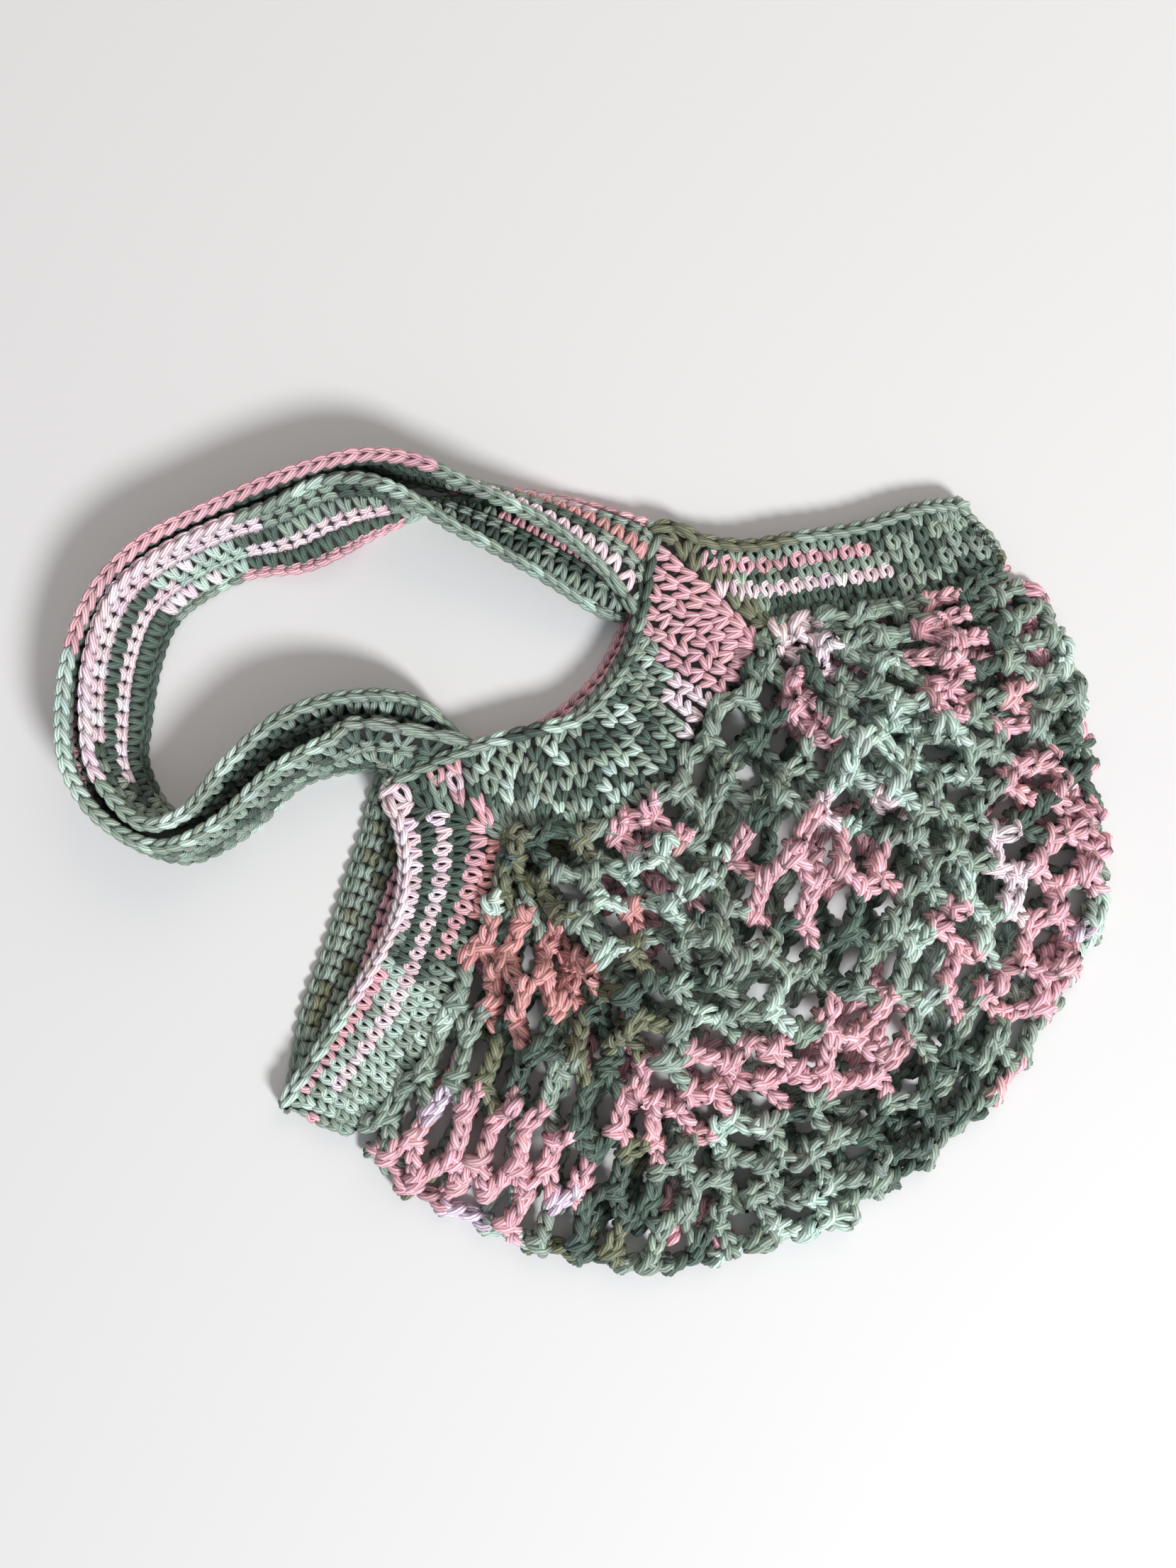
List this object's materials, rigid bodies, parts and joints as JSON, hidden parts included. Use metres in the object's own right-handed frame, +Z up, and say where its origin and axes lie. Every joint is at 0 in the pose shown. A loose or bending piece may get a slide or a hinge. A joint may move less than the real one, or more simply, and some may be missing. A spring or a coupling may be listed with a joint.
{
  "type": "mesh market bag",
  "caption": "Crocheted net market bag with a solid band round its mouth and two shoulder straps, lying flat on a surface with the net gathered in folds.",
  "frame": {"origin": "centre of the base of the bounding box, on the surface that the bag lies on", "axes": "+X along the bag's length from the straps to the net, +Y across it towards the right end of the mouth, +Z up from the surface"},
  "size_m": [0.4422, 0.346, 0.0398],
  "materials": {
    "mouth_band": "single crochet in cotton yarn, sage green with pink rows",
    "net_body": "open net of chain loops in the same cotton yarn, sage green and pink",
    "strap_front": "single crochet in the same cotton yarn with a pink edge chain",
    "strap_back": "single crochet in the same cotton yarn, pale mint with pink stitches"
  },
  "bodies": {
    "root": {"mouth_band": "mouth_band", "net_body": "net_body", "strap_front": "strap_front", "strap_back": "strap_back"}
  },
  "joints": []
}
